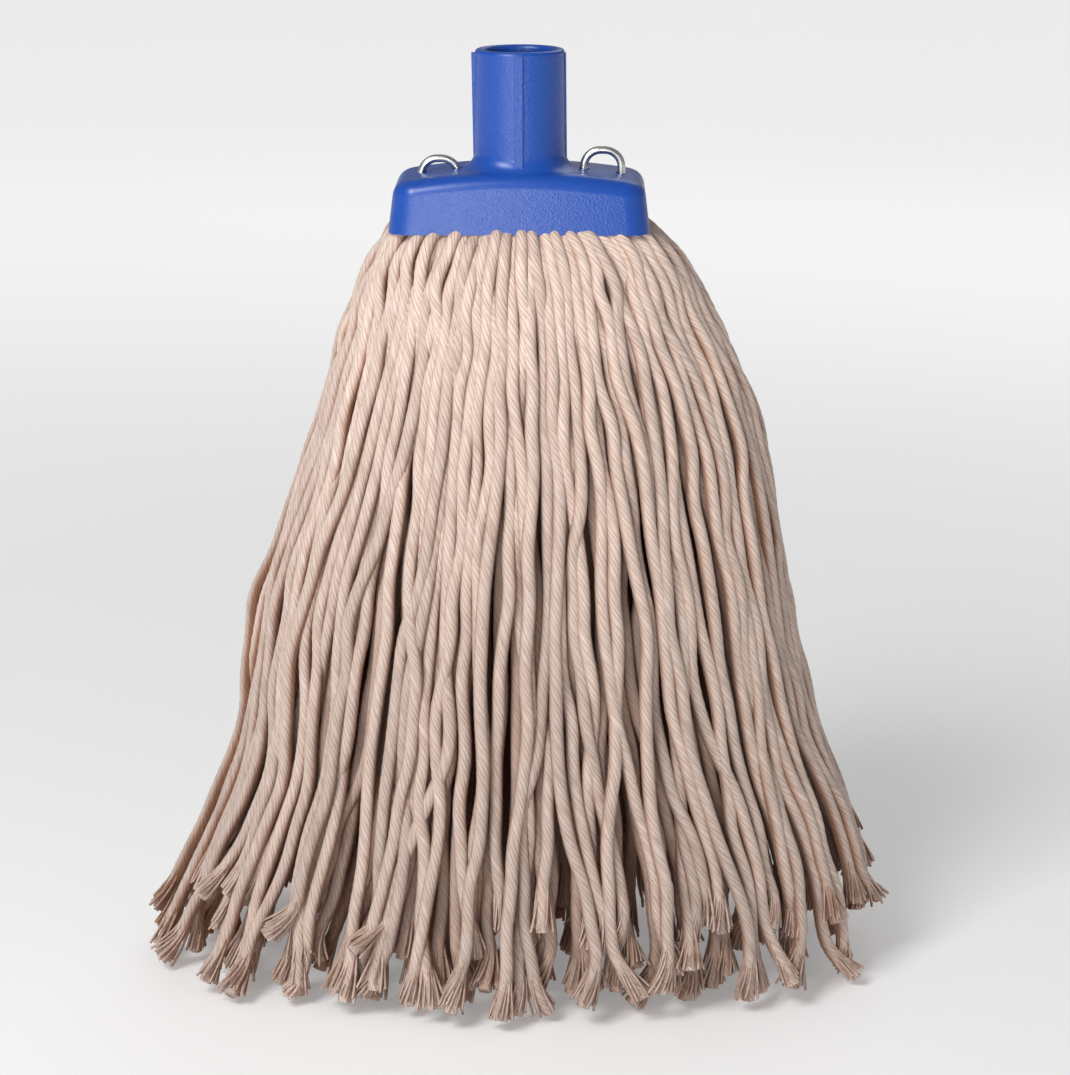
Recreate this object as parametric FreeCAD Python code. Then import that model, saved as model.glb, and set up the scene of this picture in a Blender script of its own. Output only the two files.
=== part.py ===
import FreeCAD, Part
import math
import os

os.makedirs("parts", exist_ok=True)

# String mop head, in millimetres. +Z runs up the handle socket, X along the long side of the
# skirt and -Y towards the front. The origin is on the floor, under the socket's axis.

# Head shell
total_height = 341.0
skirt_bottom = 278.3
skirt_length = 92.6
skirt_depth = 48.0
skirt_corner = 8.0
skirt_draft = 2.1  # how far each side leans in from the bottom to the crown's ends
crown_end = 295.3  # height of the top above the skirt's ends
crown_middle = 299.6
rim_round = 6.0
wall = 2.5
cavity_top = 291.5
cavity_taper = 3.1  # how far each side of the cavity leans in

# Handle socket
bore_radius = 12.7  # for a handle 25.4 mm (1 inch) across
bore_floor = 301.0
socket_top_radius = 15.85
socket_base_radius = 16.35
socket_cove = 6.5
lip_round = 1.2
rib_width = 3.0
rib_edge_round = 0.35
# how far the +X, +Y, -X and -Y ribs stand out at the socket's foot and at their own top
rib_heights = [(0.5, 0.5), (0.8, 0.8), (0.1, 1.3), (0.8, 0.8)]
rib_top_gap = 1.4  # the ribs stop this far below the rim

# Wire staples
wire_radius = 1.4
wire_hole_radius = 2.1
wire_hole_offset = 6.5  # from the middle of a staple
left_staple = -28.6  # from the socket's axis to the middle of each staple
right_staple = 29.5
staple_span = 13.4  # between the two legs
left_crest = 302.1  # centre line of the arch
right_crest = 305.2
staple_foot = 281.3  # centre line of the clinched ends
arch_bend = 6.0
clinch_bend = 2.8
clinch_gap = 1.0

# Strings: a bell, longer along X than along Y, flattened from a turned shape. Its outer layer
# is cut into locks, which swing out from a hinge just under the skirt.
flatten = 0.558
hinge_height = 269.0
hinge_half_length = 48.0
floor_half_length = 138.0
knuckle_radius = 5.0
neck_height = 20.0  # below the hinge, where a lock stays narrow enough to swing
lock_bottom = 1.5
side_gap = 0.5
reach = 300.0  # more than the mop in any direction
strings_top = 279.0
outer_bell = [(53.5, hinge_height), (63, 257), (67, 244), (85, 199), (101, 138), (108, 91),
              (131, 40), (137, 20), (floor_half_length, 0)]
lining_bell = [(43.8, hinge_height), (46, 257), (50, 244), (66, 199), (79, 138), (86, 91),
               (103, 40), (108, 20), (110, 0)]
core_bell = [(37, strings_top), (38, 262), (45.5, 250), (64.5, 199), (77.5, 138), (84.5, 91),
             (101.5, 40), (106.5, 20), (108.5, 0)]
core_split_top = 19.0  # half length where the middle strings part from the outer ones
core_split_floor = 54.0
core_gap = 0.5
seam_angle = 60.0  # turns the bells' own seam away from the hinges of the end locks
lock_names = ["right", "rear_right", "rear_1", "rear_2", "rear_3", "rear_4", "rear_left", "left",
              "front_left", "front_1", "front_2", "front_3", "front_4", "front_right"]
core_names = ["left_end", "left", "right", "right_end"]

vector = FreeCAD.Vector
up = vector(0, 0, 1)


def save(name, shape):
    """Write one node, and say whether it is sound."""
    shape.exportStep("parts/" + name + ".step")
    print(name, "valid" if shape.isValid() else "NOT VALID", len(shape.Solids), "solid",
          round(shape.Volume), "mm3")


def box(low, high):
    return Part.makeBox(high[0] - low[0], high[1] - low[1], high[2] - low[2], vector(*low))


def rounded_outline(length, depth, corner, height):
    """A rounded rectangle about the Z axis, as one wire."""
    x, y = length / 2, depth / 2
    bend = corner * (1 - math.sqrt(0.5))
    edges = []
    for turn in ((1, 1), (-1, 1), (-1, -1), (1, -1)):
        side = vector(turn[0] * x, turn[1] * (y - corner), height)
        middle = vector(turn[0] * (x - bend), turn[1] * (y - bend), height)
        end = vector(turn[0] * (x - corner), turn[1] * y, height)
        first, last = (side, end) if turn[0] * turn[1] > 0 else (end, side)
        if edges:
            edges.append(Part.LineSegment(edges[-1].EndPoint, first))
        edges.append(Part.Arc(first, middle, last))
    edges.append(Part.LineSegment(edges[-1].EndPoint, edges[0].StartPoint))
    return Part.Wire([edge.toShape() for edge in edges])


def skirt_block():
    """The drafted outside of the skirt under its crowned top, its top edges rounded."""
    top = crown_middle + 1
    lean = 2 * skirt_draft * (top - skirt_bottom) / (crown_end - skirt_bottom)
    low = rounded_outline(skirt_length, skirt_depth, skirt_corner, skirt_bottom)
    high = rounded_outline(skirt_length - lean, skirt_depth - lean, skirt_corner, top)
    block = Part.makeLoft([low, high], True, True)
    x = skirt_length / 2
    corners = [vector(x, -x, crown_end), vector(x, -x, 0), vector(-x, -x, 0),
               vector(-x, -x, crown_end)]
    sides = [Part.LineSegment(a, b).toShape() for a, b in zip(corners, corners[1:])]
    crown = Part.Arc(corners[-1], vector(0, -x, crown_middle), corners[0]).toShape()
    under_crown = Part.Face(Part.Wire(sides + [crown])).extrude(vector(0, 2 * x, 0))
    block = block.common(under_crown)
    rim = [edge for edge in block.Edges if edge.BoundBox.ZMin > crown_end - rim_round / 2]
    return block.makeFillet(rim_round, rim)


def cavity_block(clear):
    """The tapered space inside the skirt, or a block that stays clear of its sides."""
    length, depth = (side - 2 * (wall + clear) for side in (skirt_length, skirt_depth))
    lean = 2 * cavity_taper
    low = rounded_outline(length, depth, skirt_corner - wall, skirt_bottom)
    high = rounded_outline(length - lean, depth - lean, skirt_corner - wall, cavity_top)
    return Part.makeLoft([low, high], True, True)


def rib(foot_height, top_height):
    """A straight rib along the +X side of the socket, leaning in as the socket does."""
    inside = bore_radius + wall / 2
    top = total_height - rib_top_gap
    corners = [vector(inside, -rib_width / 2, crown_end),
               vector(socket_base_radius + foot_height, -rib_width / 2, crown_end),
               vector(socket_top_radius + top_height, -rib_width / 2, top),
               vector(inside, -rib_width / 2, top)]
    bar = Part.Face(Part.makePolygon(corners + corners[:1])).extrude(vector(0, rib_width, 0))
    outer = [edge for edge in bar.Edges
             if edge.BoundBox.XMin > socket_top_radius and edge.BoundBox.ZLength > rib_width]
    return bar.makeFillet(rib_edge_round, outer)


def head_shell():
    """The skirt, the socket with its ribs and blind bore, and the holes for the staples."""
    tube = Part.makeCone(socket_base_radius, socket_top_radius, total_height - cavity_top,
                         vector(0, 0, cavity_top))
    shell = skirt_block().fuse(tube).removeSplitter()
    junction = [edge for edge in shell.Edges
                if edge.Vertexes[0].Point.z > crown_end and edge.BoundBox.ZMax < crown_middle + 1
                and math.hypot(*edge.Vertexes[0].Point[:2]) < socket_base_radius + 0.1]
    shell = shell.makeFillet(socket_cove, junction)
    for quarter, (foot_height, top_height) in enumerate(rib_heights):
        side = rib(foot_height, top_height)
        side.rotate(vector(0, 0, 0), up, 90 * quarter)
        shell = shell.fuse(side)
    bore = Part.makeCylinder(bore_radius, total_height - bore_floor, vector(0, 0, bore_floor))
    shell = shell.cut(cavity_block(0)).cut(bore)
    for middle in (left_staple, right_staple):
        for leg in (-wire_hole_offset, wire_hole_offset):
            hole = Part.makeCylinder(wire_hole_radius, total_height, vector(middle + leg, 0, 0))
            shell = shell.cut(hole)
    shell = shell.removeSplitter()
    rim = [edge for edge in shell.Edges
           if edge.BoundBox.ZMin > total_height - 0.01 and edge.Length > bore_radius]
    return shell.makeFillet(lip_round, rim)


def staple_line(middle, crest_height):
    """One staple's centre line: up a leg, over the arch, down the other leg, ends turned in."""
    half = staple_span / 2
    tip = clinch_gap / 2
    arch = arch_bend * (1 - math.sqrt(0.5))
    clinch = clinch_bend * (1 - math.sqrt(0.5))
    right = [
        Part.LineSegment(vector(tip, 0, staple_foot), vector(half - clinch_bend, 0, staple_foot)),
        Part.Arc(vector(half - clinch_bend, 0, staple_foot),
                 vector(half - clinch, 0, staple_foot + clinch),
                 vector(half, 0, staple_foot + clinch_bend)),
        Part.LineSegment(vector(half, 0, staple_foot + clinch_bend),
                         vector(half, 0, crest_height - arch_bend)),
        Part.Arc(vector(half, 0, crest_height - arch_bend),
                 vector(half - arch, 0, crest_height - arch),
                 vector(half - arch_bend, 0, crest_height)),
    ]
    edges = [edge.toShape() for edge in right]
    mirrored = [edge.mirror(vector(0, 0, 0), vector(1, 0, 0)) for edge in edges]
    crest = Part.LineSegment(vector(half - arch_bend, 0, crest_height),
                             vector(arch_bend - half, 0, crest_height)).toShape()
    line = Part.Wire(Part.__sortEdges__(edges + [crest] + mirrored))
    line.translate(vector(middle, 0, 0))
    return line


def tube_along(line, radius):
    """A round bar along a wire of straight runs and tangent arcs."""
    start = line.OrderedVertexes[0].Point
    heading = line.OrderedEdges[0].tangentAt(line.OrderedEdges[0].FirstParameter)
    circle = Part.Wire(Part.makeCircle(radius, start, heading))
    return line.makePipeShell([circle], True, False)


def string_fold(staple, crest_height):
    """The folded middles of half the strings, packed round one staple in the skirt."""
    clear = 0.3
    block = cavity_block(clear)
    half = box((clear, -skirt_depth, strings_top + clear),
               (skirt_length, skirt_depth, cavity_top - clear))
    if staple < 0:
        half = half.mirror(vector(0, 0, 0), vector(1, 0, 0))
    channel = tube_along(staple_line(staple, crest_height), wire_radius + clear)
    return block.common(half).cut(channel)


def turned_bell(outline):
    """The solid inside an outline of (half length, height) points, flattened along Y."""
    arcs = []
    for first in range(0, len(outline) - 2, 2):
        points = [vector(x, 0, z) for x, z in outline[first:first + 3]]
        arcs.append(Part.Arc(*points).toShape())
    top, bottom = outline[0], outline[-1]
    ends = [vector(bottom[0], 0, bottom[1]), vector(0, 0, bottom[1]), vector(0, 0, top[1]),
            vector(top[0], 0, top[1])]
    lines = [Part.LineSegment(a, b).toShape() for a, b in zip(ends, ends[1:])]
    face = Part.Face(Part.Wire(Part.__sortEdges__(arcs + lines)))
    face.rotate(vector(0, 0, 0), up, seam_angle)
    squeeze = FreeCAD.Matrix()
    squeeze.A22 = flatten
    return face.revolve(vector(0, 0, 0), up, 360).transformGeometry(squeeze)


def oval_points(half_length):
    """Points evenly round an oval: each lock's middle, then its border with the next."""
    oval = Part.Ellipse(vector(0, 0, 0), half_length, half_length * flatten).toShape()
    return oval.discretize(Number=2 * len(lock_names) + 1)[:-1]


def prism(corners, low, high):
    outline = [vector(corner.x, corner.y, low) for corner in corners]
    return Part.Face(Part.makePolygon(outline + outline[:1])).extrude(vector(0, 0, high - low))


def lock(index, layer):
    """One lock of outer strings, its round root on the hinge line, and the hinge."""
    hinges, feet = oval_points(hinge_half_length), oval_points(floor_half_length)
    middle = hinges[2 * index]
    outward = (feet[2 * index] - middle).normalize()
    along = up.cross(outward)
    corners = []
    limits = []
    for side, border in ((-1, 2 * index - 1), (1, (2 * index + 1) % len(hinges))):
        heading = (feet[border] - hinges[border]).normalize()
        edge = hinges[border] + heading.cross(up) * side * side_gap
        slope = heading.dot(along) / heading.dot(outward)
        offset = edge - middle
        limits.append(offset.dot(along) - (knuckle_radius + offset.dot(outward)) * slope)
        ends = [edge - heading * 2 * knuckle_radius, edge + heading * reach]
        corners += ends if side < 0 else ends[::-1]
    neck_foot = hinge_height - neck_height
    fan = layer.common(prism(corners, lock_bottom, neck_foot))
    root = middle - outward * knuckle_radius
    tip = middle + outward * reach
    neck_corners = [root + along * limits[0], tip + along * limits[0],
                    tip + along * limits[1], root + along * limits[1]]
    neck = layer.common(prism(neck_corners, neck_foot, hinge_height))
    centre = middle + up * hinge_height
    knuckle = Part.makeCylinder(knuckle_radius, limits[1] - limits[0],
                                centre + along * limits[0], along)
    print("hinge", lock_names[index], [round(value, 3) for value in centre], "swings out about",
          [round(value, 6) for value in -along])
    return fan.fuse(neck).fuse(knuckle).removeSplitter()


def core_strings(column, row, core):
    """One of the bundles of inner strings, which stand on the floor under the skirt."""
    tops = [-reach / 3, -core_split_top, 0, core_split_top, reach / 3]
    feet = [-reach, -core_split_floor, 0, core_split_floor, reach]
    gap = core_gap / 2
    near, far = (gap, reach) if row > 0 else (-reach, -gap)
    outline = [vector(tops[column] + gap, near, strings_top),
               vector(tops[column + 1] - gap, near, strings_top),
               vector(feet[column + 1] - gap, near, 0), vector(feet[column] + gap, near, 0)]
    part_of_core = Part.Face(Part.makePolygon(outline + outline[:1]))
    return core.common(part_of_core.extrude(vector(0, far - near, 0)))


save("head_shell", head_shell())
for name, staple, crest in (("left", left_staple, left_crest), ("right", right_staple, right_crest)):
    save("staple_" + name, tube_along(staple_line(staple, crest), wire_radius))
    save("string_fold_" + name, string_fold(staple, crest))

outer_layer = turned_bell(outer_bell).cut(turned_bell(lining_bell))
for index, name in enumerate(lock_names):
    save("lock_" + name, lock(index, outer_layer))

core = turned_bell(core_bell)
for row, place in ((-1, "front"), (1, "rear")):
    for column, name in enumerate(core_names):
        save("core_" + place + "_" + name, core_strings(column, row, core))
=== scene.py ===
import math

import bpy
import numpy as np
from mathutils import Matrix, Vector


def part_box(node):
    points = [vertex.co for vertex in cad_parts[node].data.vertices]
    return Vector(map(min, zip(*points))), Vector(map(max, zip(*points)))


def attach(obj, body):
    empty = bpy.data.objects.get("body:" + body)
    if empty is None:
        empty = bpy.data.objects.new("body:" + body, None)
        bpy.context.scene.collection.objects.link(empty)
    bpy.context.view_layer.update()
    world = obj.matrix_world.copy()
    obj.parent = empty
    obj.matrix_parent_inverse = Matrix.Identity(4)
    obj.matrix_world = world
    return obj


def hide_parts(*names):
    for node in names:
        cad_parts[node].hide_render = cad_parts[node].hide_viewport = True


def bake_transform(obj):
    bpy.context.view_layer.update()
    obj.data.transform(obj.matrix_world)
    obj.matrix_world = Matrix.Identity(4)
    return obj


# String mop head: a blue moulded shell with a handle socket, two wire staples and a bell of
# twisted cotton strings. Metres, +Z up the socket, the front at -Y.

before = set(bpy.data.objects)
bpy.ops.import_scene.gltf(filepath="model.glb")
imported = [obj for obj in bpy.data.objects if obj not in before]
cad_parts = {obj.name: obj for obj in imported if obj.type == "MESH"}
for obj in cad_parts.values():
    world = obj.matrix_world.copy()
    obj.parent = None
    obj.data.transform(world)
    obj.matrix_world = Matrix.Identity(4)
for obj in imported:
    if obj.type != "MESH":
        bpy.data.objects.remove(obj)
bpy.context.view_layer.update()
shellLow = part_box("head_shell")[0]

camera = {
    "away": 1.060,        # from the socket's axis, level
    "height": 0.450,
    "tilt": 15.2,         # degrees down
    "round": 1.2,         # degrees towards +X
    "turnRight": 0.29,    # the mop stands a little left of the middle
    "lens": 99.7,
}


def setCamera(spec):
    data = bpy.data.cameras.new("camera")
    data.lens = spec["lens"]
    data.sensor_width = 36.0
    holder = bpy.data.objects.new("camera", data)
    bpy.context.scene.collection.objects.link(holder)
    turn = math.radians(spec["round"])
    holder.location = (math.sin(turn) * spec["away"], -math.cos(turn) * spec["away"], spec["height"])
    holder.rotation_euler = (
        math.radians(90.0 - spec["tilt"]), 0.0, math.radians(spec["round"] - spec["turnRight"]))
    bpy.context.scene.camera = holder


setCamera(camera)
print("camera set")


class Sock:
    # one output socket, with arithmetic that adds Math nodes
    def __init__(self, tree, socket):
        self.tree = tree
        self.socket = socket

    def combine(self, operation, first, second=0.0):
        return out(self.tree, "ShaderNodeMath", {"operation": operation}, {0: first, 1: second})

    def sine(self):
        return self.combine("SINE", self)

    def cosine(self):
        return self.combine("COSINE", self)

    def size(self):
        return self.combine("ABSOLUTE", self)

    def __add__(self, other):
        return self.combine("ADD", self, other)

    def __radd__(self, other):
        return self.combine("ADD", other, self)

    def __sub__(self, other):
        return self.combine("SUBTRACT", self, other)

    def __rsub__(self, other):
        return self.combine("SUBTRACT", other, self)

    def __mul__(self, other):
        return self.combine("MULTIPLY", self, other)

    def __rmul__(self, other):
        return self.combine("MULTIPLY", other, self)

    def __truediv__(self, other):
        return self.combine("DIVIDE", self, other)

    def __pow__(self, other):
        return self.combine("POWER", self, other)


def place(tree, kind, settings=None, sockets=None):
    node = tree.nodes.new(kind)
    for name, value in (settings or {}).items():
        if name == "stops":
            setStops(node.color_ramp, value)
        else:
            setattr(node, name, value)
    for name, value in (sockets or {}).items():
        if isinstance(name, int):
            target = node.inputs[name]
        else:
            named = [s for s in node.inputs if s.identifier == name]
            target = (named or [s for s in node.inputs if s.name == name and s.enabled])[0]
        if isinstance(value, Sock):
            tree.links.new(value.socket, target)
        else:
            target.default_value = value
    return node


def out(tree, kind, settings=None, sockets=None, pick=0):
    return Sock(tree, place(tree, kind, settings, sockets).outputs[pick])


def setStops(ramp, stops):
    while len(ramp.elements) > 1:
        ramp.elements.remove(ramp.elements[-1])
    for i, (position, colour) in enumerate(stops):
        element = ramp.elements[0] if i == 0 else ramp.elements.new(position)
        element.position = position
        element.color = (*colour, 1.0)


def vector(tree, x, y, z):
    return out(tree, "ShaderNodeCombineXYZ", None, {0: x, 1: y, 2: z})


def vectorMath(tree, operation, first, second):
    other = "Scale" if operation == "SCALE" else 1
    pick = 1 if operation == "DOT_PRODUCT" else 0
    return out(tree, "ShaderNodeVectorMath", {"operation": operation}, {0: first, other: second}, pick)


def split(tree, whole):
    return [Sock(tree, s) for s in place(tree, "ShaderNodeSeparateXYZ", None, {0: whole}).outputs]


def noise(tree, where, **sizes):
    return out(tree, "ShaderNodeTexNoise", None, {"Vector": where, **sizes})


def spread(tree, value, **limits):
    # Map Range, with its limits given as fromLow, fromHigh, toLow and toHigh
    names = {"fromLow": "From Min", "fromHigh": "From Max", "toLow": "To Min", "toHigh": "To Max"}
    soft = {"interpolation_type": "SMOOTHSTEP"} if limits.pop("soft", False) else None
    return out(tree, "ShaderNodeMapRange", soft, {"Value": value, **{names[k]: v for k, v in limits.items()}})


def blendColour(tree, factor, first, second):
    sockets = {"Factor_Float": factor}
    for name, colour in (("A_Color", first), ("B_Color", second)):
        sockets[name] = colour if isinstance(colour, Sock) else (*colour, 1.0)
    return out(tree, "ShaderNodeMix", {"data_type": "RGBA"}, sockets, pick=2)


def bumpFrom(tree, height, strength, distance):
    return out(tree, "ShaderNodeBump", None, {"Strength": strength, "Distance": distance, "Height": height})


def newMaterial(name):
    material = bpy.data.materials.new(name)
    material.use_nodes = True
    tree = material.node_tree
    tree.nodes.clear()
    return material, tree


def finishMaterial(tree, sockets):
    surface = out(tree, "ShaderNodeBsdfPrincipled", None, sockets)
    tree.links.new(surface.socket, tree.nodes.new("ShaderNodeOutputMaterial").inputs["Surface"])


locks = ["right", "rear_right", "rear_1", "rear_2", "rear_3", "rear_4", "rear_left", "left",
         "front_left", "front_1", "front_2", "front_3", "front_4", "front_right"]

strings = {
    "counts": (118, 92, 64),     # in the outside layer, behind it and in the middle
    "shares": (1.0, 0.90),       # how far out the first two layers hang
    "middleShares": (0.03, 0.55),    # squared, for the strings in the middle
    "ranks": ((0.56, 1.0), (0.22, 0.60), (0.0, 0.26)),   # squared, where each layer leaves the mouth
    "uneven": 0.30,              # of the step from one string to the next
    "thickness": 0.0050,
    "reallyThick": 0.0052,       # over the ends of the plies that stand proud
    "seed": 7,
    "packedSpacing": 0.0037,     # in the mouth of the shell, where they are squeezed
    "spacing": 0.0044,
    "rounds": 64,                # how often neighbours are pushed apart
    "push": 0.22,
    "pull": 0.05,                # back towards where they would hang
    "straighten": 0.25,
    "sideRoom": 0.0038,          # how far a string may lean over its lock's edge
    "clump": 0.0042,             # neighbours gather into tufts by this much
    "clumpsRound": (11, 17, 23, 31),
    "wander": 0.0074,            # each string's own slow wave
    "waves": (0.30, 0.16, 0.09),     # lengths of those waves
    "sway": 0.0016,              # in and out
    "swayWaves": (0.22, 0.11),
    "kink": 0.0009,
    "crossing": 0.22,            # share of the outside strings that cross over others
    "crossesBy": (0.003, 0.0065),
    "crossesAt": (0.06, 0.23),
    "liesOver": 0.0042,
    "humps": (0.0030, 0.0016),   # over the skirt's edge, and just under it
    "stops": (0.0038, 0.0080),   # heights of the cut ends
    "ragged": 0.55,              # share of the strings that stop higher
    "raggedBy": (0.002, 0.030),
    "shortSide": 0.024,          # how high the strings at the right-hand end stop
    "splay": 0.0036,             # of the last few millimetres
}

# height as a share of the skirt's edge, reach to the left, right and front, and how square it is
bell = np.array([
    (1.0430, 0.0376, 0.0376, 0.0163, 1.00),
    (1.0260, 0.0394, 0.0394, 0.0178, 1.00),
    (1.0060, 0.0405, 0.0405, 0.0190, 1.00),
    (0.9930, 0.0446, 0.0450, 0.0234, 1.00),
    (0.9810, 0.0482, 0.0505, 0.0272, 0.85),
    (0.9620, 0.0520, 0.0580, 0.0302, 0.55),
    (0.9330, 0.0572, 0.0638, 0.0326, 0.25),
    (0.8980, 0.0602, 0.0668, 0.0345, 0.10),
    (0.8590, 0.0615, 0.0725, 0.0365, 0.00),
    (0.8160, 0.0655, 0.0790, 0.0395, 0.00),
    (0.7690, 0.0695, 0.0850, 0.0420, 0.00),
    (0.7190, 0.0745, 0.0893, 0.0445, 0.00),
    (0.6650, 0.0790, 0.0918, 0.0470, 0.00),
    (0.6110, 0.0855, 0.0935, 0.0495, 0.00),
    (0.5570, 0.0935, 0.0970, 0.0515, 0.00),
    (0.5030, 0.0975, 0.0995, 0.0535, 0.00),
    (0.4490, 0.0990, 0.1012, 0.0550, 0.00),
    (0.3950, 0.0998, 0.1050, 0.0565, 0.00),
    (0.3410, 0.1005, 0.1085, 0.0580, 0.00),
    (0.2870, 0.1035, 0.1150, 0.0605, 0.00),
    (0.2340, 0.1105, 0.1230, 0.0640, 0.00),
    (0.1800, 0.1180, 0.1310, 0.0675, 0.00),
    (0.1290, 0.1270, 0.1340, 0.0700, 0.00),
    (0.0830, 0.1340, 0.1350, 0.0720, 0.00),
    (0.0430, 0.1380, 0.1350, 0.0735, 0.00),
    (0.0000, 0.1395, 0.1350, 0.0740, 0.00),
])
bell[:, 0] *= shellLow.z
flatten = 0.558
mouth = {"samples": 1441, "power": 0.30, "ratio": 0.5, "pinch": 0.97}


def arcTables(spec):
    # angle of the oval, and point of the mouth's rounded rectangle, at equal shares of the way round
    angle = np.linspace(0.0, 2.0 * math.pi, spec["samples"])
    oval = np.stack([np.cos(angle), flatten * np.sin(angle)], 1)
    power, ratio = spec["power"], spec["ratio"]
    box = np.stack([np.sign(np.cos(angle)) * np.abs(np.cos(angle)) ** power,
                    ratio * np.sign(np.sin(angle)) * np.abs(np.sin(angle)) ** power], 1)
    box[:, 1] *= spec["pinch"]
    tables = []
    for points in (oval, box):
        steps = np.linalg.norm(np.diff(points, axis=0), axis=1)
        share = np.concatenate([[0.0], np.cumsum(steps)])
        tables.append(share / share[-1])
    return angle, tables[0], tables[1], box[:, 0], box[:, 1] / (ratio * spec["pinch"])


def layStrings(spec):
    rng = np.random.default_rng(spec["seed"])
    counts = spec["counts"]
    total = sum(counts)
    layer = np.repeat([0, 1, 2], counts)
    uneven = spec["uneven"]
    around = np.concatenate([
        (np.arange(c) + rng.uniform(-uneven, uneven, c) + 0.37 * i) / c for i, c in enumerate(counts)]) % 1.0
    lowShare = np.asarray((*spec["shares"], 0.0))[layer]
    lowShare = lowShare * rng.uniform(0.985, 1.0, total)
    inside = layer == 2
    lowShare[inside] = np.sqrt(rng.uniform(*spec["middleShares"], inside.sum()))
    rank = np.empty(total)  # how far out a string leaves the mouth
    for i, limits in enumerate(spec["ranks"]):
        rank[layer == i] = np.sqrt(rng.uniform(*limits, counts[i]))
    lock = np.round(around * len(locks)).astype(int) % len(locks)

    angle, ovalShare, boxShare, boxX, boxY = arcTables(mouth)
    height, left, right, front, square = bell.T
    levels = len(height)
    phi = np.interp(around, ovalShare, angle)
    mouthX = np.interp(around, boxShare, boxX)
    mouthY = np.interp(around, boxShare, boxY)

    # slow waves: shared by neighbours (clumps) and each string's own
    down = np.clip((0.268 - height) / 0.20, 0.0, 1.0)
    shift = np.zeros((total, levels))
    for cycles in spec["clumpsRound"]:
        phase = rng.uniform(0, 2 * math.pi)
        lean = rng.uniform(-9, 9)
        shift += np.sin(2 * math.pi * (cycles * around[:, None] + phase) + lean * height[None]) * 0.5
    shift *= spec["clump"] * down
    for length in spec["waves"]:
        phase = rng.uniform(0, 2 * math.pi, total)
        size = rng.uniform(0.4, 1.0, total) * spec["wander"] * (length / spec["waves"][0]) ** 0.8
        shift += size[:, None] * np.sin(2 * math.pi * height[None] / length + phase[:, None]) * down
    depthWave = np.zeros((total, levels))
    for length in spec["swayWaves"]:
        phase = rng.uniform(0, 2 * math.pi, total)
        depthWave += np.sin(2 * math.pi * height[None] / length + phase[:, None]) * spec["sway"] * down

    settle = np.clip((0.281 - height) / 0.026, 0.0, 1.0)
    settle = settle * settle * (3 - 2 * settle)
    share = rank[:, None] + (lowShare - rank)[:, None] * settle[None]
    roundness = 0.5 * (left + right)
    turn = phi[:, None] + shift / roundness[None] / 0.8
    side = np.where(np.cos(turn) > 0, right[None], left[None])
    ovalX, ovalY = side * np.cos(turn), front[None] * np.sin(turn)
    squareX, squareY = side * mouthX[:, None], front[None] * mouthY[:, None]
    mix = square[None]
    target = np.stack([(1 - mix) * ovalX + mix * squareX, (1 - mix) * ovalY + mix * squareY], 2)
    reach = np.linalg.norm(target, axis=2, keepdims=True) + 1e-9
    target = target * share[..., None] + target / reach * depthWave[..., None] * (share[..., None] > 0.3)

    # some outside strings drift across their neighbours, lying on top of them
    crossing = (layer == 0) & (rng.random(total) < spec["crossing"])
    middle = rng.uniform(*spec["crossesAt"], total)
    drift = np.tanh((middle[:, None] - height[None]) / 0.022) * rng.choice([-1.0, 1.0], total)[:, None]
    drift *= crossing[:, None] * rng.uniform(*spec["crossesBy"], total)[:, None] * down
    sideways = np.stack([-target[..., 1], target[..., 0] * 0.6], 2)
    sideways /= np.linalg.norm(sideways, axis=2, keepdims=True) + 1e-9
    target = target + sideways * drift[..., None]
    lifted = 1.0 + crossing[:, None] * down * spec["liesOver"] / reach[..., 0]
    target = target * lifted[..., None]

    want = np.interp(height[::-1], [0.0, 0.245, 0.272, 0.30],
                     [spec["spacing"], spec["spacing"], spec["packedSpacing"], spec["packedSpacing"]])[::-1]
    where = target + rng.normal(0, 0.0002, target.shape)
    low = (lock / len(locks) - 0.5 / len(locks))[:, None]
    free = inside[:, None]
    for _ in range(spec["rounds"]):
        apart = where[:, None] - where[None]
        gap = np.sqrt((apart ** 2).sum(3)) + 1e-7
        push = np.clip(want[None, None] - gap, 0.0, None) / gap
        push[np.arange(total), np.arange(total)] = 0.0
        where = where + spec["push"] * (apart * push[..., None]).sum(1)
        where += spec["pull"] * (target - where)
        smooth = 0.5 * (where[:, :-2] + where[:, 2:]) - where[:, 1:-1]
        where[:, 4:-1] += spec["straighten"] * smooth[:, 3:]
        side = np.where(where[..., 0] > 0, right[None], left[None])
        x, y = where[..., 0] / side, where[..., 1] / front[None]
        power = np.where(square > 0.5, 6.0, np.where(square > 0.2, 3.0, 2.0))[None]
        beyond = (np.abs(x) ** power + np.abs(y) ** power) ** (1 / power)
        scale = np.where(beyond > lifted, lifted / beyond, 1.0)
        where *= scale[..., None]
        x, y = where[..., 0] / side, where[..., 1] / front[None]
        ring = np.hypot(x, y)
        now = np.interp(np.arctan2(y, x) % (2 * math.pi), angle, ovalShare)
        off = (now - low + 0.5) % 1.0 - 0.5
        room = (spec["sideRoom"] / (roundness * 5.0))[None]
        held = np.clip(off, -room, 1 / len(locks) + room)
        back = np.interp((low + held) % 1.0, ovalShare, angle)
        bound = (height < 0.262)[None] & ~free & (held != off)
        where[..., 0] = np.where(bound, ring * np.cos(back) * side, where[..., 0])
        where[..., 1] = np.where(bound, ring * np.sin(back) * front[None], where[..., 1])
    where[:, 5:] += rng.normal(0, spec["kink"], where[:, 5:].shape)

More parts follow.
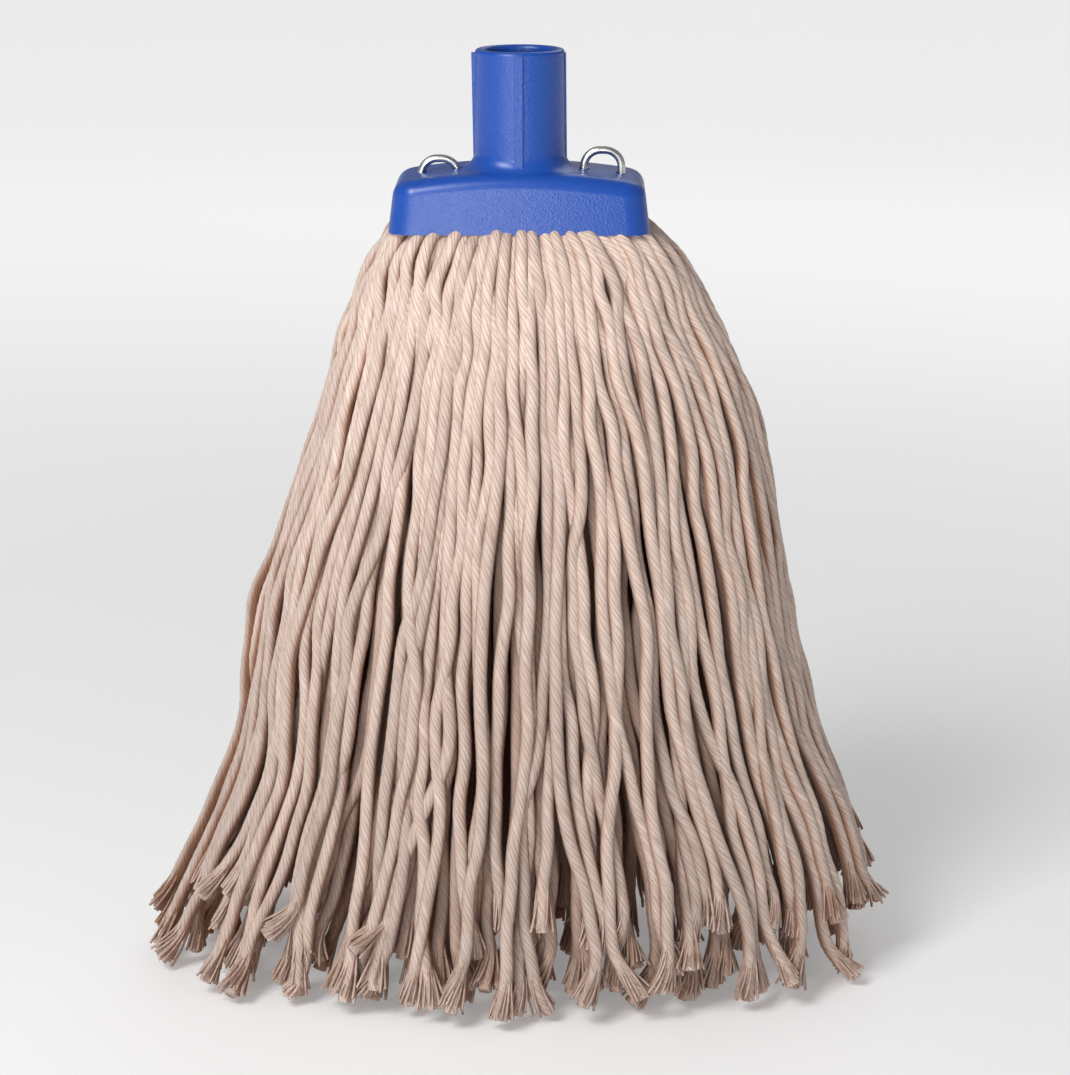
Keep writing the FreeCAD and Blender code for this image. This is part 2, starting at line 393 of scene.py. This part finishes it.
    # heights: the outside strings hump up over the skirt's edge, and the ends stop at different heights
    z = np.repeat(height[None], total, 0)
    edge = np.hypot(where[:, 3, 0] / left[3], where[:, 3, 1] / front[3])
    for level, hump in zip((3, 4), spec["humps"]):
        z[:, level] += rng.uniform(0.0, hump, total) * (edge > 0.7)
    stop = rng.uniform(*spec["stops"], total)
    ragged = rng.random(total) < spec["ragged"]
    stop = np.where(ragged, stop + rng.uniform(*spec["raggedBy"], total), stop)
    end = np.clip(1 - np.abs(((around + 0.5) % 1.0) - 0.5) / 0.045, 0, 1)
    stop = stop + end * spec["shortSide"] * rng.uniform(0.6, 1.1, total)
    splay = rng.normal(0, spec["splay"], (total, 2))
    paths = []
    for i in range(total):
        keep = z[i] > stop[i] + 0.007
        run = np.concatenate([where[i][keep], z[i][keep][:, None]], 1)
        lastX = np.interp(stop[i], height[::-1], where[i, ::-1, 0])
        lastY = np.interp(stop[i], height[::-1], where[i, ::-1, 1])
        tip = np.array([lastX + splay[i, 0], lastY + splay[i, 1], stop[i]])
        paths.append(np.vstack([run, tip]))
    return paths, layer, lock, edge


paths, layerOf, lockOf, edgeOf = layStrings(strings)
print("strings laid:", len(paths))


cotton = {
    "plies": 9,              # fine yarns round one string
    "ridge": 0.00036,        # how deep the grooves between them look
    "cream": (0.755, 0.612, 0.550),
    # painted shade in the grooves between the plies
    "grooveShade": (0.46, 0.305, 0.215),
    # painted shade: the strings further inside the bell are coloured darker brown
    "innerShade": (0.45, 0.25, 0.15),
    "speck": (0.08, 0.04, 0.02),
    "creviceShade": (0.47, 0.27, 0.16),   # painted shade where strings press together
    "tones": (0.34, 0.20),   # along a string, and from string to string
}


def cottonMaterial(spec):
    material, tree = newMaterial("cotton")

    def stored(name, pick=2):
        return out(tree, "ShaderNodeAttribute", {"attribute_name": name}, pick=pick)

    across, up, _ = split(tree, stored("ring", 1))
    along, strand, depth, facing = (stored(n) for n in ("along", "strand", "depth", "facing"))

    def onString(wide, long, step, **sizes):  # noise in a string's own coordinates
        where = vector(tree, across * wide, up * wide, along * long + strand * step)
        return noise(tree, where, Scale=1.0, **sizes)

    wobble = onString(1.5, 90.0, 40.0, Detail=2.0)
    fibre = onString(9.0, 260.0, 71.0, Detail=3.0, Roughness=0.6)
    slub = onString(0.7, 55.0, 23.0, Detail=2.0)
    fleck = onString(2.2, 420.0, 91.0, Detail=1.0)
    angle = up.combine("ARCTAN2", up, across)
    ply = (angle * (spec["plies"] * 0.5) + wobble * 6.5).sine().size()
    relief = (ply ** 0.6) * 0.75 + fibre * 0.42 + slub * 0.25
    # painted shade: the grooves between the plies are coloured darker, mixed with the fibres' own random tone
    plyShadeAndTone = spread(tree, ply * 0.42 + fibre * 0.55 + slub * 0.22, fromLow=0.15, fromHigh=0.98)
    base = blendColour(tree, plyShadeAndTone, spec["grooveShade"], spec["cream"])
    inString, perString = spec["tones"]
    base = vectorMath(tree, "SCALE", base, (slub - 0.5) * inString + (strand - 0.5) * perString + 1.0)
    # painted shade: the strings further inside the bell are coloured darker brown
    base = blendColour(tree, spread(tree, depth, fromHigh=1.0, toHigh=0.85), base, spec["innerShade"])
    # painted shade where strings press together: darker where a spot faces away from the outside of the bell
    creviceShadeMask = spread(tree, facing + fibre * 0.2, fromLow=1.0, fromHigh=0.10, soft=True)
    base = blendColour(tree, creviceShadeMask, base, vectorMath(tree, "MULTIPLY", base, spec["creviceShade"]))
    base = blendColour(tree, spread(tree, fleck, fromLow=0.80, fromHigh=0.84), base, spec["speck"])
    finishMaterial(tree, {
        "Base Color": base, "Roughness": 0.82 + fibre * 0.15,
        "Normal": bumpFrom(tree, relief, 0.9, spec["ridge"]),
        "Specular IOR Level": 0.25, "Sheen Weight": 0.25, "Sheen Roughness": 0.6})
    return material


cottonFinish = cottonMaterial(cotton)


twist = {
    "Thickness": strings["thickness"],
    "Ring spacing": 0.00213,     # twelve rings to a turn, so that each ring turns by one side
    "Turn length": -0.0256,
    "Groove": 0.05,              # how much narrower every second edge is
    "Fray length": 0.019,
    "Fray spread": 0.0028,
    "Plies": 18,
    "Ply thickness": 0.00108,
    "Seed": 0,
}
looseFray = 0.0046  # the strings inside a lock open wider than the ones made as pieces of their own
goldenAngle = 2.39996
fullTurn = 6.283


def stringTree(defaults):
    tree = bpy.data.node_groups.new("twistedString", "GeometryNodeTree")
    face = tree.interface
    face.new_socket(name="Geometry", in_out="INPUT", socket_type="NodeSocketGeometry")
    face.new_socket(name="Geometry", in_out="OUTPUT", socket_type="NodeSocketGeometry")
    for name, value in defaults.items():
        kind = "NodeSocketInt" if isinstance(value, int) else "NodeSocketFloat"
        face.new_socket(name=name, in_out="INPUT", socket_type=kind).default_value = value
    face.new_socket(name="Finish", in_out="INPUT", socket_type="NodeSocketMaterial")
    start = place(tree, "NodeGroupInput")
    given = {s.name: Sock(tree, s) for s in start.outputs if s.name}

    def store(geometry, name, value, kind="FLOAT"):
        return out(tree, "GeometryNodeStoreNamedAttribute", {"data_type": kind, "domain": "POINT"},
                   {"Geometry": geometry, "Name": name, "Value": value})

    def named(name, kind="FLOAT"):
        return out(tree, "GeometryNodeInputNamedAttribute", {"data_type": kind}, {"Name": name})

    def dice(low, high, label, seed):
        return out(tree, "FunctionNodeRandomValue", {"data_type": "FLOAT"},
                   {"Min_001": low, "Max_001": high, "ID": label, "Seed": seed}, pick=1)

    def unit(value):
        return out(tree, "ShaderNodeVectorMath", {"operation": "NORMALIZE"}, {0: value})

    which = out(tree, "GeometryNodeCurveOfPoint")
    radius = out(tree, "GeometryNodeInputRadius")
    # the 'depth' attribute carries each layer's painted shade, passed in as the point radius
    lines = store(given["Geometry"], "depth", 1.0 - radius)
    lines = store(lines, "strand", dice(0.0, 1.0, which, given["Seed"]))
    lines = out(tree, "GeometryNodeResampleCurve", {"mode": "LENGTH"},
                {"Curve": lines, "Length": given["Ring spacing"]})
    run = out(tree, "GeometryNodeSplineParameter", pick=1)
    lines = store(lines, "along", run)
    whole = out(tree, "GeometryNodeSplineLength")
    left = whole - run  # still to go before the cut end
    strand = named("strand")
    along = named("along")

    turned = out(tree, "GeometryNodeSetCurveTilt", None, {
        "Curve": lines, "Tilt": run * (2 * math.pi) / given["Turn length"] + strand * fullTurn})
    narrow = spread(tree, left, fromLow=0.0, fromHigh=given["Fray length"], toLow=0.22, toHigh=1.0, soft=True)
    uneven = out(tree, "ShaderNodeTexNoise", {"noise_dimensions": "2D"}, {  # thick and thin
        "Vector": vector(tree, run * 45.0, strand * 60.0, 0.0), "Scale": 1.0, "Detail": 1.0})
    turned = out(tree, "GeometryNodeSetCurveRadius", None, {
        "Curve": turned, "Radius": narrow * (0.86 + uneven * 0.28)})
    profile = out(tree, "GeometryNodeCurvePrimitiveCircle", None,
                  {"Resolution": 12, "Radius": given["Thickness"] * 0.5})
    spot = out(tree, "GeometryNodeInputPosition")
    profile = store(profile, "ring", unit(spot), "FLOAT_VECTOR")
    index = out(tree, "GeometryNodeInputIndex")
    odd = index.combine("MODULO", index, 2.0)
    profile = out(tree, "GeometryNodeSetPosition", None, {
        "Geometry": profile, "Position": vectorMath(tree, "SCALE", spot, 1.0 - odd * given["Groove"])})
    body = out(tree, "GeometryNodeCurveToMesh", None,
               {"Curve": turned, "Profile Curve": profile, "Fill Caps": True})

    # the cut end opens into its plies
    ends = out(tree, "GeometryNodeTrimCurve", {"mode": "LENGTH"}, {
        "Curve": lines, "Start_001": whole - given["Fray length"], "End_001": whole})
    ends = out(tree, "GeometryNodeResampleCurve", {"mode": "COUNT"}, {"Curve": ends, "Count": 6})
    copies = place(tree, "GeometryNodeDuplicateElements", {"domain": "SPLINE"},
                   {"Geometry": ends, "Amount": given["Plies"]})
    ply = Sock(tree, copies.outputs["Duplicate Index"])
    ends = Sock(tree, copies.outputs["Geometry"])
    number = out(tree, "GeometryNodeCurveOfPoint")
    chance = dice(0.0, 1.0, number, given["Seed"] + 3.0)
    second = dice(0.0, 1.0, number, given["Seed"] + 8.0)
    ends = store(ends, "chance", chance)
    ends = store(ends, "second", second)
    chance, second = named("chance"), named("second")
    progress = out(tree, "GeometryNodeSplineParameter")
    angle = ply * goldenAngle + strand * fullTurn + progress * 0.9
    rank = ((ply + 0.5) / given["Plies"]) ** 0.5
    offset = (rank * given["Thickness"] * 0.40
              + (progress ** 1.35) * given["Fray spread"] * (rank * 0.75 + chance * 0.35))
    normal = out(tree, "GeometryNodeInputNormal")
    tangent = out(tree, "GeometryNodeInputTangent")
    beside = vectorMath(tree, "CROSS_PRODUCT", tangent, normal)
    cosine, sine = angle.cosine(), angle.sine()
    flat = 0.55 + second * 0.45  # the tufts are flatter one way than the other
    first = vectorMath(tree, "SCALE", normal, cosine * offset)
    other = vectorMath(tree, "SCALE", beside, sine * offset * flat)
    moved = vectorMath(tree, "ADD", first, other)
    ends = store(ends, "ring", vector(tree, cosine, sine, 0.0), "FLOAT_VECTOR")
    ends = out(tree, "GeometryNodeSetPosition", None, {"Geometry": ends, "Offset": moved})
    ends = out(tree, "GeometryNodeTrimCurve", {"mode": "FACTOR"}, {
        "Curve": ends, "Start": 0.0, "End": 0.84 + chance * 0.16})
    ends = out(tree, "GeometryNodeSetCurveRadius", None, {"Curve": ends, "Radius": 0.85 + second * 0.35})
    thread = out(tree, "GeometryNodeCurvePrimitiveCircle", None,
                 {"Resolution": 4, "Radius": given["Ply thickness"] * 0.5})
    tuft = out(tree, "GeometryNodeCurveToMesh", None,
               {"Curve": ends, "Profile Curve": thread, "Fill Caps": True})

    join = place(tree, "GeometryNodeJoinGeometry")
    for part in (tuft, body):
        tree.links.new(part.socket, join.inputs[0])
    whole = out(tree, "GeometryNodeSetShadeSmooth", None, {"Geometry": Sock(tree, join.outputs[0])})
    # how far each spot faces out of the bell, for the painted shade between the strings
    centre = out(tree, "GeometryNodeInputPosition")
    outward = unit(vectorMath(tree, "MULTIPLY", centre, (1.0, flatten ** -2, 0.0)))
    facing = vectorMath(tree, "DOT_PRODUCT", out(tree, "GeometryNodeInputNormal"), outward)
    whole = store(whole, "facing", facing)
    whole = out(tree, "GeometryNodeRealizeInstances", None, {"Geometry": whole})
    whole = out(tree, "GeometryNodeSetMaterial", None, {"Geometry": whole, "Material": given["Finish"]})
    tree.links.new(whole.socket, place(tree, "NodeGroupOutput").inputs[0])
    return tree


stringNodes = stringTree(twist)
layerShade = (0.0, 0.42, 0.95)  # painted shade: how much darker brown each layer further in is coloured


def drawLines(name, chosen):
    data = bpy.data.curves.new(name, "CURVE")
    data.dimensions = "3D"
    for i in chosen:
        points = paths[i]
        spline = data.splines.new("NURBS")
        spline.points.add(len(points) - 1)
        for point, spot in zip(spline.points, points):
            point.co = (*spot, 1.0)
            # the point radius carries the layer's painted shade into the string's colour
            point.radius = 1.0 - layerShade[layerOf[i]]
        spline.order_u = 3
        spline.use_endpoint_u = True
        spline.resolution_u = 6
    holder = bpy.data.objects.new(name, data)
    bpy.context.scene.collection.objects.link(holder)
    return holder


def followedPoints(holder):
    line = bpy.data.meshes.new_from_object(holder)
    points = [tuple(v.co) for v in line.vertices]
    bpy.data.meshes.remove(line)
    return points


def spin(name, chosen, seed):
    holder = drawLines(name + "_line", chosen)
    follow = followedPoints(holder) if len(chosen) == 1 else None
    modifier = holder.modifiers.new("twist", "NODES")
    modifier.node_group = stringNodes
    values = {**twist, "Seed": seed, "Finish": cottonFinish}
    if len(chosen) > 1:
        values["Fray spread"] = looseFray
    for item in stringNodes.interface.items_tree:
        if item.in_out == "INPUT" and item.name in values:
            modifier[item.identifier] = values[item.name]
    graph = bpy.context.evaluated_depsgraph_get()
    mesh = bpy.data.meshes.new_from_object(holder.evaluated_get(graph), depsgraph=graph)
    mesh.name = name
    bpy.data.objects.remove(holder)
    piece = bpy.data.objects.new(name, mesh)
    bpy.context.scene.collection.objects.link(piece)
    return piece, follow


def hang(piece):
    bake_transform(piece)


made = 0
cordSeed, coreSeed = 100, 40
for number, lock in enumerate(locks):
    body = "lock_" + lock
    members = [i for i in range(len(paths)) if lockOf[i] == number and layerOf[i] < 2]
    outside = sorted((i for i in members if layerOf[i] == 0), key=lambda i: -edgeOf[i])
    single = outside[:2 if lock in ("right", "left") else 3]  # made one by one, each a piece of its own
    for letter, i in zip("abc", single):
        piece, follow = spin(f"string_{lock}_{letter}", [i], cordSeed + i)
        hang(piece)
        made += 1
    piece, _ = spin(f"strings_{lock}", [i for i in members if i not in single], number)
    hang(piece)
    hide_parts(body)
print("strings declared one by one:", made)

for label, test in (("front", lambda p: p[-1][1] < 0), ("rear", lambda p: p[-1][1] >= 0)):
    chosen = [i for i in range(len(paths)) if layerOf[i] == 2 and test(paths[i])]
    piece, _ = spin("strings_core_" + label, chosen, coreSeed + len(chosen))
    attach(piece, "head")
    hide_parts(*[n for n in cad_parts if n.startswith("core_" + label)])
    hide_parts("string_fold_left" if label == "front" else "string_fold_right")
print("locks and core hung")


shell = {
    "blue": (0.004, 0.058, 0.330),
    # painted reflection: the pale blue of a hazy sparkle of reflected light on the textured faces
    "paintedHaze": (0.07, 0.14, 0.45),
    "belly": 6300.0,         # how much the long faces seem to swell
    "grain": 1300.0,         # grains per metre in the textured faces
    "pits": 1500.0,
    "patches": 70.0,
    "scuffsAndSparkle": 260.0,
    "relief": 0.00017,
    "steepness": (0.25, 0.06),   # the grain is only on faces steeper than this
}


def shellMaterial(spec):
    material, tree = newMaterial("blueShell")
    spot = place(tree, "ShaderNodeTexCoord")
    local = Sock(tree, spot.outputs["Object"])
    across = split(tree, local)[0]
    steep = split(tree, Sock(tree, spot.outputs["Normal"]))[2].size()
    flat = spread(tree, steep, fromLow=spec["steepness"][0], fromHigh=spec["steepness"][1])
    grain = out(tree, "ShaderNodeTexVoronoi", {"feature": "F1"}, {"Vector": local, "Scale": spec["grain"]})
    fine = noise(tree, local, Scale=spec["pits"], Detail=3.0, Roughness=0.7)
    patch = noise(tree, local, Scale=spec["patches"], Detail=3.0)
    scuffAndSparkle = noise(tree, local, Scale=spec["scuffsAndSparkle"], Detail=4.0, Roughness=0.75)
    height = (grain * 0.6 + fine * 0.6) * flat - across * across * spec["belly"]
    # painted reflection: a pale speckle on the textured faces stands in for their sparkle of reflected light;
    # the faint patch tone over the whole shell is the plastic's own random tone, and the scuff noise also
    # varies the roughness
    paintedSparkle = spread(tree, fine * 0.6 + scuffAndSparkle * 0.5, fromLow=0.50, fromHigh=0.80)
    finishMaterial(tree, {
        "Base Color": blendColour(tree, paintedSparkle * flat * 0.16 + patch * 0.04, spec["blue"], spec["paintedHaze"]),
        "Roughness": 0.27 + flat * 0.05 + scuffAndSparkle * 0.10,
        "Normal": bumpFrom(tree, height, 1.0, spec["relief"]), "Specular IOR Level": 0.52})
    return material


wire = {
    "dark": (0.50, 0.49, 0.47),
    "bright": (0.66, 0.65, 0.63),
    "drawn": (900.0, 5200.0, 900.0),     # fine lines left by the drawing die
    "dull": 420.0,
    "relief": 0.00006,
}


def wireMaterial(spec):
    material, tree = newMaterial("wire")
    spot = Sock(tree, place(tree, "ShaderNodeTexCoord").outputs["Object"])
    stretched = out(tree, "ShaderNodeMapping", None, {"Vector": spot, "Scale": spec["drawn"]})
    drawn = noise(tree, stretched, Scale=1.0, Detail=3.0)
    dull = noise(tree, spot, Scale=spec["dull"], Detail=3.0)
    finishMaterial(tree, {
        "Base Color": blendColour(tree, dull, spec["dark"], spec["bright"]), "Metallic": 1.0,
        "Roughness": 0.24 + dull * 0.16, "Normal": bumpFrom(tree, drawn, 0.10, spec["relief"])})
    return material


def coat(node, material):
    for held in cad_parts[node].material_slots:
        held.material = material
    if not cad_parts[node].material_slots:
        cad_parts[node].data.materials.append(material)


coat("head_shell", shellMaterial(shell))
steel = wireMaterial(wire)
for end in ("left", "right"):
    coat("staple_" + end, steel)
print("shell and staples finished")


studio = {
    "floor": 40.0,
    "tones": ((0.80, 0.80, 0.80), (0.83, 0.83, 0.83)),
    "glow": 0.62,            # how bright the far floor is by itself
    "glowFrom": (0.20, 2.0),     # it grows between these distances from the mop
    "nearGlow": 0.40,
    "world": 0.25,
    "lamps": {
        "key": {"power": 13.5, "size": 0.55, "at": (-0.62, -0.86, 1.16), "aim": (0.0, 0.0, 0.24)},
        "front": {"power": 2.4, "size": 0.30, "at": (-0.26, -1.6, 0.46), "aim": (0.0, 0.0, 0.28)},
        "fill": {"power": 0.5, "size": 1.0, "at": (1.2, -0.9, 0.7), "aim": (0.0, 0.0, 0.17)},
        "back": {"power": 3.0, "size": 1.0, "at": (0.4, 1.3, 1.2), "aim": (0.0, 0.0, 0.17)},
        # two narrow ones that only reach the shell
        "shellFront": {"power": 26.0, "cone": 12.0, "at": (-0.24, -1.6, 0.42), "aim": (0.0, 0.0, 0.300)},
        "shellLeft": {"power": 14.0, "cone": 12.0, "at": (-0.84, -1.36, 0.23), "aim": (0.0, 0.0, 0.312)},
    },
    "spotRadius": 0.11,
    "spotBlend": 0.9,
}


def addFloor(spec):
    material, tree = newMaterial("paleFloor")
    spot = Sock(tree, place(tree, "ShaderNodeTexCoord").outputs["Object"])
    base = blendColour(tree, noise(tree, spot, Scale=3.0, Detail=2.0), *spec["tones"])
    reach = out(tree, "ShaderNodeVectorMath", {"operation": "LENGTH"}, {0: spot}, pick=1)
    near, far = spec["glowFrom"]
    glow = spread(tree, reach, fromLow=near, fromHigh=far, toLow=spec["nearGlow"], toHigh=1.0, soft=True)
    finishMaterial(tree, {
        "Base Color": base, "Roughness": 0.9, "Specular IOR Level": 0.1,
        "Emission Color": blendColour(tree, glow, (0.0, 0.0, 0.0), (1.0, 1.0, 1.0)),
        "Emission Strength": spec["glow"]})
    half = spec["floor"] / 2
    corners = [(-half, -half, 0), (half, -half, 0), (half, half, 0), (-half, half, 0)]
    mesh = bpy.data.meshes.new("floor")
    mesh.from_pydata(corners, [], [(0, 1, 2, 3)])
    mesh.materials.append(material)
    floor = bpy.data.objects.new("floor", mesh)
    bpy.context.scene.collection.objects.link(floor)


def addLamp(name, spec):
    data = bpy.data.lights.new(name, "SPOT" if "cone" in spec else "AREA")
    data.energy = spec["power"]
    if "cone" in spec:
        data.spot_size = math.radians(spec["cone"])
        data.spot_blend = studio["spotBlend"]
        data.shadow_soft_size = studio["spotRadius"]
    else:
        data.size = spec["size"]
    lamp = bpy.data.objects.new(name, data)
    bpy.context.scene.collection.objects.link(lamp)
    lamp.location = spec["at"]
    away = np.array(spec["at"]) - np.array(spec["aim"])
    level = math.hypot(away[0], away[1])
    lamp.rotation_euler = (math.atan2(level, away[2]), 0.0, math.atan2(away[1], away[0]) + math.pi / 2)


addFloor(studio)
for name, spec in studio["lamps"].items():
    addLamp(name, spec)
world = bpy.data.worlds.new("studio")
world.use_nodes = True
world.node_tree.nodes["Background"].inputs[0].default_value = (1.0, 1.0, 1.0, 1.0)
world.node_tree.nodes["Background"].inputs[1].default_value = studio["world"]
bpy.context.scene.world = world
bpy.context.scene.view_settings.view_transform = "Standard"
print("studio lit")
